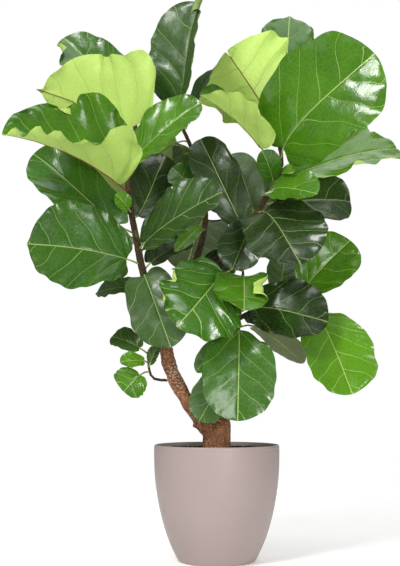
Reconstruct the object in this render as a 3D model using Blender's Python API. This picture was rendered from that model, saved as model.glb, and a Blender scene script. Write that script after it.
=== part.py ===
"""Potted fiddle leaf fig: a turned planter, potting soil, a leaning trunk, woody stems and broad leaves.

Metres, +Z up. The origin is the centre of the planter's underside, which rests on the floor, and -Y
is the plant's front. Every leaf is one solid of petiole and blade: rings of nine points, lofted from
the foot on its stem to the tip. A leaf's upper side faces its `face` vector, and its left and right
are as seen from that side with the tip up.
"""

import math
from dataclasses import dataclass

import bmesh
import bpy
from mathutils import Vector

GAP = 0.0003  # running gap between pieces that touch

# Planter: outer radius at each height, from the underside up to the rounded rim.
PLANTER_SIDES = 40
PLANTER_OUTSIDE = (
    (0.000, 0.0880),
    (0.003, 0.0925),
    (0.012, 0.0975),
    (0.030, 0.1065),
    (0.058, 0.1180),
    (0.096, 0.1300),
    (0.145, 0.1410),
    (0.200, 0.1480),
    (0.250, 0.1500),
)
RIM_HEIGHT = 0.272
RIM_LIP = 0.0085  # height of the rounded lip above the wall
WALL = 0.0050
FLOOR = 0.0060

# Potting soil: filled to a little below the rim, rising towards the stump.
SOIL_EDGE = 0.2590
SOIL_CROWN = 0.2640
STUMP_RADIUS = 0.0330
STUMP_FOOT = 0.160  # the buried end of the stump
STUMP_TOP = 0.342  # the old cut end

# Woody parts: (x, y, z) points of the centre line with a radius at each end.
TRUNK_PATH = (
    (-0.004, 0.000, 0.285),
    (-0.026, -0.002, 0.312),
    (-0.052, -0.006, 0.350),
    (-0.083, -0.010, 0.396),
    (-0.108, -0.010, 0.444),
    (-0.122, -0.005, 0.498),
    (-0.126, 0.000, 0.552),
)
STEMS = {
    "left_stem": (
        "trunk",
        0.0115,
        0.0045,
        (
            (-0.124, -0.002, 0.530),
            (-0.148, -0.010, 0.610),
            (-0.178, -0.020, 0.685),
            (-0.194, -0.030, 0.765),
            (-0.211, -0.020, 0.852),
            (-0.218, 0.000, 0.950),
            (-0.204, 0.022, 1.050),
            (-0.194, 0.045, 1.150),
        ),
    ),
    "centre_stem": (
        "trunk",
        0.0105,
        0.0040,
        (
            (-0.124, 0.003, 0.505),
            (-0.092, 0.040, 0.610),
            (-0.047, 0.060, 0.735),
            (-0.026, 0.062, 0.829),
            (-0.035, 0.062, 0.932),
            (-0.070, 0.060, 1.035),
            (-0.110, 0.050, 1.112),
        ),
    ),
    "right_stem": (
        "centre_stem",
        0.0095,
        0.0040,
        (
            (-0.060, 0.056, 0.700),
            (0.000, 0.035, 0.722),
            (0.060, 0.002, 0.781),
            (0.102, -0.018, 0.836),
            (0.131, -0.026, 0.890),
            (0.160, -0.024, 0.952),
            (0.150, 0.020, 1.040),
            (0.112, 0.050, 1.105),
        ),
    ),
    "lower_stem": (
        "trunk",
        0.0085,
        0.0040,
        (
            (-0.060, -0.006, 0.362),
            (0.000, -0.018, 0.388),
            (0.034, -0.036, 0.440),
            (0.047, -0.048, 0.508),
            (0.053, -0.052, 0.575),
            (0.061, -0.045, 0.639),
            (0.064, -0.040, 0.690),
        ),
    ),
    "side_stem": (
        "lower_stem",
        0.0065,
        0.0035,
        (
            (0.050, -0.050, 0.570),
            (0.105, -0.010, 0.600),
            (0.170, 0.020, 0.622),
            (0.222, 0.024, 0.640),
        ),
    ),
    "twig": (
        "trunk",
        0.0038,
        0.0025,
        (
            (-0.098, -0.010, 0.425),
            (-0.150, -0.016, 0.429),
            (-0.164, -0.018, 0.462),
            (-0.161, -0.018, 0.496),
        ),
    ),
}
BUD_START = 0.93  # a stem narrows to its bud from here on
BUD_TIP = 0.55
TRUNK_RADIUS = 0.0200
TRUNK_TOP_RADIUS = 0.0165
STEM_SIDES = 10
RINGS_PER_RUN = 3  # rings between two points of a stem's centre line
TRUNK_SIDES = 12

# Blade: (distance along it, half width, how far the margin sweeps forward), as parts of its size.
BLADE = (
    (0.035, 0.28, -0.080),
    (0.12, 0.57, -0.070),
    (0.24, 0.78, -0.040),
    (0.38, 0.90, 0.000),
    (0.52, 0.98, 0.015),
    (0.66, 1.00, 0.020),
    (0.79, 0.90, 0.020),
    (0.90, 0.66, 0.012),
    (0.97, 0.34, 0.005),
)
WIDEST = 0.66  # where that table is widest
LEAST_SPREAD = 0.4  # keeps the first rings of a broad-based blade clear of the petiole
BLADE_THICKNESS = 0.0013
KEEL = 0.0016  # the midrib stands this far out of the underside
KEEL_HALF_WIDTH = 0.0022
PETIOLE_RADIUS = 0.0024


@dataclass
class Leaf:
    """One leaf: the stem it grows on and how far up, its tip, its upper side's direction and its shape."""

    stem: str
    at: float
    tip: tuple
    face: tuple
    width: float
    petiole: float = 0.030
    arch: float = 0.08  # the midrib's bulge to the upper side, as a part of its length
    curl: float = 0.0  # how far the tip bends down
    fold: tuple = (10, 10)  # degrees that the left and right halves are raised
    cup: tuple = (6, 6)  # degrees more at the outer half
    relax: tuple = (0.0, 0.0)  # the share of each side's fold that is gone at the tip
    widest: float = 0.66  # where along the blade it is widest
    lobes: float = 1.0  # how far the two lobes at the base reach back, 1 being a short lobe
    lean: float = 0.4  # how far the petiole leaves its stem towards the upper side
    wave: float = 0.035  # the margin's waves, as a part of the width


LEAVES = (
    # left stem, top to bottom
    Leaf("left_stem", 0.85, (-0.452, 0.110, 1.178), (0.15, 0.75, 0.6), 0.320, petiole=0.040,
         arch=0.10, fold=(15, 5), widest=0.42, lobes=2.1),
    Leaf("left_stem", 0.72, (-0.038, -0.070, 1.095), (-0.5, -0.8, 0.4), 0.150, arch=0.05),
    Leaf("left_stem", 0.62, (-0.500, -0.160, 0.992), (0.1, -0.3, 0.9), 0.320, petiole=0.050,
         fold=(40, 66), cup=(6, 10), relax=(0.9, 0.1), widest=0.36, lobes=0.3),
    Leaf("left_stem", 0.46, (-0.459, 0.030, 0.992), (-0.2, -0.9, 0.4), 0.145, petiole=0.050),
    Leaf("left_stem", 0.52, (-0.130, 0.070, 1.000), (0.0, -1.0, 0.1), 0.130, arch=-0.12, lean=-0.5),
    Leaf("left_stem", 0.54, (-0.243, -0.070, 0.868), (0.0, -1.0, 0.3), 0.045, petiole=0.015),
    Leaf("left_stem", 0.39, (0.011, -0.160, 0.855), (-0.3, -0.8, 0.55), 0.175, arch=0.05),
    Leaf("left_stem", 0.33, (-0.437, -0.120, 0.740), (-0.2, -0.9, 0.3), 0.225, petiole=0.045),
    Leaf("left_stem", 0.27, (-0.108, -0.100, 0.500), (-0.1, -0.9, 0.4), 0.140),
    Leaf("left_stem", 0.22, (-0.294, 0.020, 0.642), (-0.2, -0.7, 0.7), 0.080),
    Leaf("left_stem", 0.30, (-0.070, 0.070, 0.775), (-0.2, -0.8, 0.6), 0.090, lean=-0.2),
    # centre stem
    Leaf("centre_stem", 0.93, (-0.415, 0.220, 1.365), (0.2, -0.95, 0.3), 0.165, petiole=0.200,
         arch=-0.05, lean=-0.4),
    Leaf("centre_stem", 0.97, (-0.040, 0.030, 1.390), (-0.5, -0.8, 0.1), 0.225, fold=(5, 42)),
    Leaf("centre_stem", 0.88, (-0.002, 0.050, 1.221), (-0.6, -0.5, 0.6), 0.070),
    Leaf("centre_stem", 0.78, (-0.112, 0.100, 0.993), (0.0, -0.9, 0.4), 0.070),
    Leaf("centre_stem", 0.45, (-0.100, -0.035, 0.735), (0.0, -0.9, 0.4), 0.040, petiole=0.015),
    Leaf("centre_stem", 0.55, (-0.110, 0.020, 0.955), (0.1, -0.8, 0.5), 0.110),
    Leaf("centre_stem", 0.32, (0.045, 0.110, 0.690), (0.0, -0.9, 0.3), 0.120, lean=-0.6),
    # right stem
    Leaf("right_stem", 0.96, (0.030, 0.130, 1.295), (0.1, 0.85, 0.5), 0.270, petiole=0.042, widest=0.78),
    Leaf("right_stem", 0.78, (0.210, 0.260, 1.435), (0.0, -0.8, 0.6), 0.190, petiole=0.150,
         arch=0.0, lean=-1.0),
    Leaf("right_stem", 0.74, (0.362, -0.200, 1.172), (0.0, -1.0, 0.3), 0.275, petiole=0.035, lean=1.0),
    Leaf("right_stem", 0.655, (-0.040, -0.165, 1.084), (0.1, -0.5, 0.85), 0.160, petiole=0.095,
         fold=(44, 28), widest=0.58, lobes=0.4, lean=0.1),
    Leaf("right_stem", 0.64, (0.443, -0.030, 0.990), (0.1, -0.7, 0.7), 0.165),
    Leaf("right_stem", 0.61, (0.108, -0.094, 0.970), (0.0, -1.0, 0.2), 0.065, petiole=0.015),
    Leaf("right_stem", 0.54, (0.230, -0.165, 0.850), (0.0, -0.9, 0.4), 0.105, petiole=0.020, lean=0.8),
    Leaf("right_stem", 0.49, (0.335, 0.020, 0.868), (0.0, -0.9, 0.45), 0.165, lean=0.1),
    Leaf("right_stem", 0.43, (0.190, -0.170, 0.685), (0.05, -1.0, 0.4), 0.200),
    Leaf("right_stem", 0.36, (0.036, -0.080, 0.684), (0.0, -1.0, 0.3), 0.110),
    Leaf("right_stem", 0.32, (-0.040, -0.020, 1.022), (-0.2, -1.0, 0.2), 0.115, curl=0.10),
    Leaf("right_stem", 0.40, (0.040, 0.080, 1.005), (0.2, -0.9, 0.3), 0.100, lean=-0.5),
    # lower stem
    Leaf("lower_stem", 0.983, (-0.094, -0.155, 0.545), (-0.1, -1.0, 0.1), 0.220, petiole=0.088,
         lean=0.1, lobes=0.8),
    Leaf("lower_stem", 0.917, (0.059, -0.190, 0.579), (0.1, -0.6, 0.8), 0.150, petiole=0.043, arch=0.05),
    Leaf("lower_stem", 0.70, (0.256, -0.120, 0.558), (0.0, -0.9, 0.45), 0.160),
    Leaf("lower_stem", 0.583, (0.046, -0.130, 0.331), (0.0, -1.0, 0.3), 0.175),
    Leaf("lower_stem", 0.34, (-0.042, -0.060, 0.329), (-0.1, -1.0, 0.2), 0.090),
    Leaf("lower_stem", 0.55, (-0.050, -0.045, 0.445), (0.0, -0.9, 0.4), 0.050, petiole=0.015),
    Leaf("lower_stem", 0.608, (0.215, 0.030, 0.468), (0.0, 0.6, 0.8), 0.075, petiole=0.05, lean=-0.3),
    # side stem
    Leaf("side_stem", 0.95, (0.329, 0.000, 0.768), (0.1, -0.9, 0.4), 0.145),
    Leaf("side_stem", 0.85, (0.310, -0.120, 0.392), (0.2, -0.95, 0.3), 0.180, petiole=0.110),
    Leaf("side_stem", 0.60, (0.175, 0.080, 0.730), (0.0, -0.9, 0.3), 0.085, lean=-0.3),
    # twig
    Leaf("twig", 0.90, (-0.254, 0.000, 0.532), (-0.2, -0.7, 0.7), 0.070),
    Leaf("twig", 0.72, (-0.230, -0.050, 0.468), (0.0, -0.9, 0.5), 0.045, petiole=0.015),
    Leaf("twig", 0.52, (-0.222, -0.040, 0.398), (-0.2, -0.9, 0.3), 0.095),
    Leaf("twig", 0.63, (-0.140, -0.045, 0.505), (-0.5, -0.8, 0.0), 0.035, petiole=0.015),
    # the back of the crown
    Leaf("centre_stem", 0.83, (-0.310, 0.290, 0.925), (-0.2, 0.8, 0.5), 0.200, petiole=0.070, lean=0.9),
    Leaf("left_stem", 0.42, (-0.330, 0.230, 0.790), (-0.3, 0.8, 0.4), 0.200, petiole=0.045),
    Leaf("centre_stem", 0.70, (0.010, 0.310, 0.940), (0.1, 0.8, 0.5), 0.200),
    Leaf("centre_stem", 0.50, (-0.080, 0.300, 0.730), (-0.1, 0.9, 0.4), 0.190),
    Leaf("centre_stem", 0.62, (0.250, 0.250, 0.865), (0.3, 0.8, 0.4), 0.190, petiole=0.060, lean=1.2),
)

COLOURS = {
    "planter": ((0.46, 0.38, 0.35), 0.55),
    "soil": ((0.030, 0.020, 0.014), 0.95),
    "bark": ((0.25, 0.085, 0.035), 0.80),
    "stem": ((0.090, 0.055, 0.025), 0.70),
    "leaf": ((0.045, 0.170, 0.020), 0.30),
}


def material(name):
    """A plain surface in the colour and roughness of this kind of piece."""
    made = bpy.data.materials.get(name)
    if made is None:
        colour, roughness = COLOURS[name]
        made = bpy.data.materials.new(name)
        made.use_nodes = True
        surface = made.node_tree.nodes["Principled BSDF"]
        surface.inputs["Base Color"].default_value = (*colour, 1.0)
        surface.inputs["Roughness"].default_value = roughness
        surface.inputs["Metallic"].default_value = 0.0
    return made


def add_object(name, mesh_data, surface):
    """Puts a bmesh in the scene as one closed, outward, smoothly shaded object."""
    bmesh.ops.recalc_face_normals(mesh_data, faces=mesh_data.faces)
    mesh = bpy.data.meshes.new(name)
    mesh_data.to_mesh(mesh)
    mesh_data.free()
    mesh.shade_smooth()
    mesh.set_sharp_from_angle(angle=math.radians(50))
    mesh.materials.append(material(surface))
    made = bpy.data.objects.new(name, mesh)
    bpy.context.scene.collection.objects.link(made)
    return made


def turned(name, profile, surface):
    """A solid of revolution. The profile's (z, radius) points start and end on the axis."""
    mesh_data = bmesh.new()
    rings = []
    for z, radius in profile:
        if radius == 0:
            rings.append([mesh_data.verts.new((0, 0, z))] * PLANTER_SIDES)
            continue
        turns = (2 * math.pi * k / PLANTER_SIDES for k in range(PLANTER_SIDES))
        rings.append([mesh_data.verts.new((radius * math.cos(a), radius * math.sin(a), z)) for a in turns])
    for lower, upper in zip(rings, rings[1:]):
        for k in range(PLANTER_SIDES):
            after = (k + 1) % PLANTER_SIDES
            corners = dict.fromkeys((lower[k], lower[after], upper[after], upper[k]))
            mesh_data.faces.new(corners)
    return add_object(name, mesh_data, surface)


def outside_radius(z):
    """The planter's outer radius at a height, on the straight runs between its profile points."""
    points = PLANTER_OUTSIDE
    for (z0, r0), (z1, r1) in zip(points, points[1:]):
        if z <= z1:
            return r0 + (r1 - r0) * (z - z0) / (z1 - z0)
    return points[-1][1]


def inside_heights(top):
    """Heights of the inner wall's points, from the floor's corner up to the given one."""
    corner = FLOOR + 0.009
    return [corner] + [z for z, _ in PLANTER_OUTSIDE if corner < z < top] + [top]


def build_planter():
    lip = []
    middle = PLANTER_OUTSIDE[-1][1] - WALL / 2
    straight_top = RIM_HEIGHT - RIM_LIP
    for k in range(7):
        angle = math.pi * k / 6
        lip.append((straight_top + RIM_LIP * math.sin(angle), middle + WALL / 2 * math.cos(angle)))
    inner = [(z, outside_radius(z) - WALL) for z in inside_heights(0.250)]
    floor_corner = (FLOOR, inner[0][1] - 0.012)
    profile = [(0.0, 0.0), *PLANTER_OUTSIDE, *lip, *reversed(inner), floor_corner, (FLOOR, 0.0)]
    turned("planter", profile, "planter")


def build_soil():
    wall = [(z, outside_radius(z) - WALL - 2 * GAP) for z in inside_heights(SOIL_EDGE)]
    floor_corner = (FLOOR + GAP, wall[0][1] - 0.012)
    well = STUMP_RADIUS + GAP
    surface = [
        (SOIL_EDGE + 0.003, 0.118),
        (SOIL_EDGE + 0.001, 0.085),
        (SOIL_CROWN - 0.004, 0.056),
        (SOIL_CROWN, well),
    ]
    profile = [(FLOOR + GAP, 0.0), floor_corner, *wall, *surface, (STUMP_FOOT - GAP, well)]
    turned("potting_soil", [*profile, (STUMP_FOOT - GAP, 0.0)], "soil")


def smooth_point(points, position):
    """The point at a position from 0 to 1 on the smooth curve through all the points."""
    last = len(points) - 1
    at = min(max(position, 0.0), 1.0) * last
    k = min(int(at), last - 1)
    t = at - k
    p0, p1, p2, p3 = (Vector(points[min(max(k + j, 0), last)]) for j in (-1, 0, 1, 2))
    start = (p2 - p0) / 2
    end = (p3 - p1) / 2
    return (
        p1 * (2 * t**3 - 3 * t**2 + 1)
        + start * (t**3 - 2 * t**2 + t)
        + p2 * (3 * t**2 - 2 * t**3)
        + end * (t**3 - t**2)
    )


def rod(name, centres, radii, sides, surface):
    """A closed round rod with flat ends through the centres."""
    mesh_data = bmesh.new()
    side = Vector((0.0, 1.0, 0.0))
    rings = []
    for k, (centre, radius) in enumerate(zip(centres, radii)):
        along = (centres[min(k + 1, len(centres) - 1)] - centres[max(k - 1, 0)]).normalized()
        side = (side - along * side.dot(along)).normalized()
        other = along.cross(side)
        turns = (2 * math.pi * j / sides for j in range(sides))
        ring = [centre + side * (radius * math.cos(a)) + other * (radius * math.sin(a)) for a in turns]
        rings.append([mesh_data.verts.new(point) for point in ring])
    for lower, upper in zip(rings, rings[1:]):
        for j in range(sides):
            after = (j + 1) % sides
            mesh_data.faces.new((lower[j], lower[after], upper[after], upper[j]))
    mesh_data.faces.new(reversed(rings[0]))
    mesh_data.faces.new(rings[-1])
    return add_object(name, mesh_data, surface)


def boolean(target, other, operation):
    """Joins another closed object to the target or cuts it away, and hides it."""
    step = target.modifiers.new(f"{operation.lower()}_{other.name}", "BOOLEAN")
    step.operation = operation
    step.object = other
    other.hide_render = True
    other.display_type = "WIRE"


def build_trunk():
    """The stump with its old cut end, and the leaning branch that grew on from its side."""
    stump_heights = (STUMP_FOOT, 0.200, 0.268, 0.281, 0.298, 0.320, 0.337, STUMP_TOP)
    stump_radii = [STUMP_RADIUS, STUMP_RADIUS, STUMP_RADIUS, 0.0345, 0.0350, 0.0340, 0.0320, 0.0290]
    centres = [Vector((0.0, 0.0, z)) for z in stump_heights]
    trunk = rod("trunk", centres, stump_radii, TRUNK_SIDES, "bark")
    boolean(trunk, branch("leaning_branch", 0.0), "UNION")
    return trunk


def branch(name, swell):
    """The leaning branch; as a cutter for the stems on it, it is swollen by their gap."""
    steps = 15
    centres = [smooth_point(TRUNK_PATH, k / steps) for k in range(steps + 1)]
    centres[-1] += (centres[-1] - centres[-2]).normalized() * swell
    taper = TRUNK_TOP_RADIUS - TRUNK_RADIUS
    radii = [TRUNK_RADIUS + taper * k / steps + 0.0012 * math.sin(2.4 * k) + swell for k in range(steps + 1)]
    radii[0] += 0.008
    radii[1] += 0.004
    return rod(name, centres, radii, TRUNK_SIDES, "bark")


def stem_radius(name, position):
    """A stem's radius: it tapers evenly, swells at its nodes and ends in a bud."""
    _, foot, top, _ = STEMS[name]
    bud = max(0.0, (position - BUD_START) / (1.0 - BUD_START))
    return (foot + (top - foot) * position) * (1.0 - (1.0 - BUD_TIP) * bud)


def stem_centres(name):
    """The centres of a stem's rings, evenly spaced along its smooth curve."""
    points = STEMS[name][3]
    steps = RINGS_PER_RUN * (len(points) - 1)
    return [smooth_point(points, k / steps) for k in range(steps + 1)]


def stem_point(name, position):
    """The point of a stem's axis at a position, on the straight run between two rings."""
    centres = stem_centres(name)
    at = position * (len(centres) - 1)
    k = min(int(at), len(centres) - 2)
    return centres[k].lerp(centres[k + 1], at - k)


def stem_rod(name, swell):
    centres = stem_centres(name)
    steps = len(centres) - 1
    radii = [stem_radius(name, k / steps) + swell for k in range(steps + 1)]
    label = name if swell == 0 else f"{name}_cutter"
    return rod(label, centres, radii, STEM_SIDES, "stem")


def build_stems():
    """Each stem starts inside the wood it grew from and is cut back to a gap around it."""
    cutters = {"trunk": branch("trunk_cutter", GAP)}
    for name, (parent, _, _, _) in STEMS.items():
        if parent not in cutters:
            cutters[parent] = stem_rod(parent, GAP)
        boolean(stem_rod(name, 0.0), cutters[parent], "DIFFERENCE")


class Midrib:
    """The curve from a leaf's foot on its stem, along the petiole and the blade, to the tip."""

    def __init__(self, leaf):
        centre = stem_point(leaf.stem, leaf.at)
        along = stem_point(leaf.stem, leaf.at + 0.02) - stem_point(leaf.stem, leaf.at - 0.02)
        along.normalize()
        tip = Vector(leaf.tip)
        self.chord = tip - centre
        self.face = Vector(leaf.face)
        self.face -= self.chord * self.face.dot(self.chord) / self.chord.length_squared
        self.face.normalize()
        out = self.chord.normalized() + self.face * leaf.lean
        out = (out - along * out.dot(along)).normalized()
        foot = centre + out * (stem_radius(leaf.stem, leaf.at) + GAP)
        self.chord = tip - foot
        self.length = self.chord.length
        self.curl = leaf.curl * self.length
        rise = self.face * (leaf.arch * self.length)
        start = (out + along * 0.5).normalized() * (0.22 * self.length)
        self.handles = (foot, foot + start + rise * 0.4, foot + self.chord * 0.62 + rise * 1.5, tip)

    def point(self, s):
        t = 1.0 - s
        p0, p1, p2, p3 = self.handles
        place = p0 * t**3 + p1 * (3 * t**2 * s) + p2 * (3 * t * s**2) + p3 * s**3
        return place - self.face * (self.curl * max(0.0, (s - 0.55) / 0.45) ** 2)

    def frame(self, s):
        """The place on the midrib with its forward, right and upward directions."""
        forward = (self.point(s + 0.01) - self.point(s - 0.01)).normalized()
        upward = (self.face - forward * self.face.dot(forward)).normalized()
        return self.point(s), forward, forward.cross(upward), upward


def petiole_ring(midrib, s, radius):
    """Nine points round the petiole, in the order of the blade's rings."""
    place, _, right, upward = midrib.frame(s)
    turns = (180, 135, 90, 45, 0, -45, -75, -105, -135)
    spokes = ((math.cos(math.radians(a)), math.sin(math.radians(a))) for a in turns)
    return [place + right * (radius * x) + upward * (radius * y) for x, y in spokes]


def blade_ring(midrib, leaf, phase, blade_start, u, half_width, sweep):
    """Nine points across the blade: left margin, three on top, right margin, four below."""
    blade_length = midrib.length * (1.0 - blade_start)
    place, forward, right, upward = midrib.frame(blade_start + (1.0 - blade_start) * u)
    opening = min(1.0, u / 0.12 + 0.25)
    thick = BLADE_THICKNESS * (1.0 - 0.55 * u)
    keel = KEEL * (1.0 - 0.8 * u)
    half = leaf.width / 2 * half_width
    if sweep < 0:
        sweep *= leaf.lobes
    sides = []
    for sign, fold, cup, relax in zip((-1, 1), leaf.fold, leaf.cup, leaf.relax):
        inner = math.radians(fold * opening * (1.0 - relax * u))
        outer = inner + math.radians(cup * opening)
        ripple = leaf.wave * leaf.width * math.sin(2 * math.pi * (1.7 * u + 0.31 * sign) + phase)
        middle = place + (right * (sign * math.cos(inner)) + upward * math.sin(inner)) * (half / 2)
        middle += forward * (sweep * blade_length * 0.3) + upward * (ripple * 0.25)
        margin = middle + (right * (sign * math.cos(outer)) + upward * math.sin(outer)) * (half / 2)
        margin += forward * (sweep * blade_length * 0.7) + upward * (ripple * 0.75)
        normal = upward * math.cos(inner) - right * (sign * math.sin(inner))
        below = place + right * (sign * KEEL_HALF_WIDTH) - upward * (thick / 2 + keel)
        sides.append((margin, middle + normal * (thick / 2), middle - normal * (thick / 2), below))
    (left, top_left, low_left, keel_left), (right_margin, top_right, low_right, keel_right) = sides
    crest = place + upward * (thick / 2)
    return [left, top_left, crest, top_right, right_margin, low_right, keel_right, keel_left, low_left]


def build_leaf(name, leaf, phase):
    midrib = Midrib(leaf)
    blade_start = leaf.petiole / midrib.length
    first = 0.0022 / midrib.length
    rings = [petiole_ring(midrib, first, PETIOLE_RADIUS)]
    rings.append(petiole_ring(midrib, (first + blade_start) / 2, PETIOLE_RADIUS * 0.85))
    rings.append(petiole_ring(midrib, blade_start, PETIOLE_RADIUS * 0.9))
    spread = math.log(leaf.widest) / math.log(WIDEST)
    for u, half_width, sweep in BLADE:
        part = max(u**spread, u * LEAST_SPREAD)
        rings.append(blade_ring(midrib, leaf, phase, blade_start, part, half_width, sweep))
    mesh_data = bmesh.new()
    foot = mesh_data.verts.new(midrib.point(0.0))
    tip = mesh_data.verts.new(midrib.point(1.0))
    loops = [[mesh_data.verts.new(point) for point in ring] for ring in rings]
    for k in range(9):
        after = (k + 1) % 9
        mesh_data.faces.new((foot, loops[0][after], loops[0][k]))
        mesh_data.faces.new((tip, loops[-1][k], loops[-1][after]))
        for near, far in zip(loops, loops[1:]):
            # Both sides of the thin blade are split along the same diagonals, so that they never cross.
            start, end = (k, after) if k < 4 else (after, k)
            mesh_data.faces.new((near[start], near[end], far[end]))
            mesh_data.faces.new((near[start], far[end], far[start]))
    return add_object(name, mesh_data, "leaf")


def main():
    for old in list(bpy.data.objects):
        bpy.data.objects.remove(old)
    build_planter()
    build_soil()
    build_trunk()
    build_stems()
    for number, leaf in enumerate(LEAVES, 1):
        build_leaf(f"leaf_{number:02d}", leaf, phase=2.4 * number)


if __name__ == "__main__":
    main()
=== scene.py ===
"""Looks of a potted fiddle leaf fig: veined, waved leaves on woody stems in a matte planter.

The script is laid out as an add-on: one operator for each group of pieces, and a panel that lists
them. Metres, +Z up, and the plant's front looks along -Y. Every piece is made from the place and
size of its own node in the fixed frame.
"""

import math

import bmesh
import bpy
import numpy as np
from mathutils import Euler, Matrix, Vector, noise


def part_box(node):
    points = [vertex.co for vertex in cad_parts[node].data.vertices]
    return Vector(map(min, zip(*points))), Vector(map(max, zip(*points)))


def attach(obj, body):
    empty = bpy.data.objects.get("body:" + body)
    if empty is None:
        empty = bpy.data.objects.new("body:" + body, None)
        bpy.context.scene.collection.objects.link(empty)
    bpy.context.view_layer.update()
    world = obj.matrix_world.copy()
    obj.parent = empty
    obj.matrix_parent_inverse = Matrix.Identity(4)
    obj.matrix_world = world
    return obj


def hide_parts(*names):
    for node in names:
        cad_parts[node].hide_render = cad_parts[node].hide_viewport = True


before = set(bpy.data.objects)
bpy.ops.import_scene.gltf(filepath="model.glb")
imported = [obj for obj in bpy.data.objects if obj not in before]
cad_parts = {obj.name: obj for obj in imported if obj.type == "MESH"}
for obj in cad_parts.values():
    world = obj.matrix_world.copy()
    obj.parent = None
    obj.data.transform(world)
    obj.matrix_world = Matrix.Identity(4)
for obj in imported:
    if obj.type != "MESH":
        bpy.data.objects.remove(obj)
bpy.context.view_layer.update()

bl_info = {
    "name": "Potted fiddle leaf fig",
    "version": (1, 0, 0),
    "blender": (4, 5, 0),
    "location": "3D View > Sidebar > Fiddle leaf fig",
    "description": "Leaves, wood, soil and planter of a potted fiddle leaf fig",
    "category": "Object",
}

BODY = "root"
STEMS = ("left_stem", "centre_stem", "right_stem", "lower_stem", "side_stem", "twig")
LEAVES = sorted(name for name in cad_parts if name.startswith("leaf_"))

RING_POINTS = 9  # points round each ring of a leaf's CAD solid
PETIOLE_RINGS = 3  # the rings next to the foot are round; the rest cross the blade
MERGE = 1e-6  # vertices closer than this become one
NUB = (-0.0545, -0.009, 0.315)  # where a twig broke off the leaning branch


def linear(code):
    """A colour from its six-digit web code, in linear light."""
    parts = (int(code[k:k + 2], 16) / 255 for k in (0, 2, 4))
    return tuple(p / 12.92 if p <= 0.04045 else ((p + 0.055) / 1.055) ** 2.4 for p in parts)


# One row per leaf: brightness of its green, partly the leaf's own age and partly painted shade of the crown
# (below 0 in the crown's deepest painted shade), grey bloom on it, crinkling of its margin, and the
# rolled-over stretches of margin as (side, from, to, start across, radius).
LEAF_LOOKS = {
    "leaf_01": (0.62, 0.00, 0.9, ()),
    "leaf_02": (0.72, 0.00, 0.6, ()),
    "leaf_03": (0.72, 0.00, 1.3, ()),
    "leaf_04": (0.45, 0.00, 0.6, ()),
    "leaf_05": (0.05, 0.05, 0.4, ()),
    "leaf_06": (0.90, 0.00, 0.4, ()),
    "leaf_07": (0.20, 0.10, 0.7, ()),
    "leaf_08": (0.40, 0.05, 0.6, ()),
    "leaf_09": (0.30, 0.40, 0.4, ()),
    "leaf_10": (0.30, 0.20, 0.6, ()),
    "leaf_11": (0.00, 0.10, 0.4, ()),
    "leaf_12": (0.50, 0.05, 0.9, ((-1, 0.72, 0.99, 0.5, 0.012),)),
    "leaf_13": (0.30, 0.30, 0.4, ((1, 0.70, 0.98, 0.45, 0.009),)),
    "leaf_14": (0.30, 0.10, 0.4, ()),
    "leaf_15": (0.20, 0.70, 0.4, ()),
    "leaf_16": (0.85, 0.10, 0.4, ()),
    "leaf_17": (0.55, 0.20, 0.4, ()),
    "leaf_18": (0.00, 0.10, 0.4, ()),
    "leaf_19": (1.00, 0.00, 1.2, ()),
    "leaf_20": (0.55, 0.00, 1.3, ()),
    "leaf_21": (0.70, 0.00, 0.5, ()),
    "leaf_22": (0.66, 0.00, 0.8, ()),
    "leaf_23": (0.95, 0.00, 1.3, ()),
    "leaf_24": (0.50, 0.00, 0.4, ()),
    "leaf_25": (0.70, 0.00, 0.5, ((-1, 0.12, 0.62, 0.66, 0.006),)),
    "leaf_26": (0.16, 0.00, 0.5, ()),
    "leaf_27": (0.10, 0.05, 0.6, ()),
    "leaf_28": (0.16, 0.15, 0.4, ()),
    "leaf_29": (0.10, 0.10, 0.4, ((-1, 0.22, 0.62, 0.78, 0.006), (1, 0.48, 0.80, 0.82, 0.006))),
    "leaf_30": (0.20, 0.60, 0.4, ()),
    "leaf_31": (0.55, 0.00, 1.4, ((1, 0.42, 0.72, 0.84, 0.005), (1, 0.76, 0.99, 0.76, 0.006))),
    "leaf_32": (0.66, 0.00, 0.7, ((-1, 0.15, 0.92, 0.50, 0.007),)),
    "leaf_33": (0.10, 0.00, 0.5, ()),
    "leaf_34": (0.55, 0.12, 0.35, ()),
    "leaf_35": (0.45, 0.30, 0.4, ()),
    "leaf_36": (0.66, 0.20, 0.4, ()),
    "leaf_37": (0.10, 0.80, 0.4, ()),
    "leaf_38": (0.74, 0.00, 0.5, ()),
    "leaf_39": (0.88, 0.00, 0.4, ()),
    "leaf_40": (0.30, 0.50, 0.4, ()),
    "leaf_41": (0.35, 0.20, 0.4, ()),
    "leaf_42": (0.80, 0.05, 0.5, ()),
    "leaf_43": (0.72, 0.00, 0.5, ()),
    "leaf_44": (0.20, 0.10, 0.4, ()),
    "leaf_46": (0.00, 0.00, 0.5, ()),
    "leaf_47": (-0.50, 0.00, 0.5, ()),
    "leaf_48": (-0.50, 0.00, 0.5, ()),
    "leaf_49": (-0.30, 0.00, 0.5, ()),
}
PLAIN_LOOK = (0.35, 0.08, 0.5, ())  # of a leaf that has no row

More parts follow.
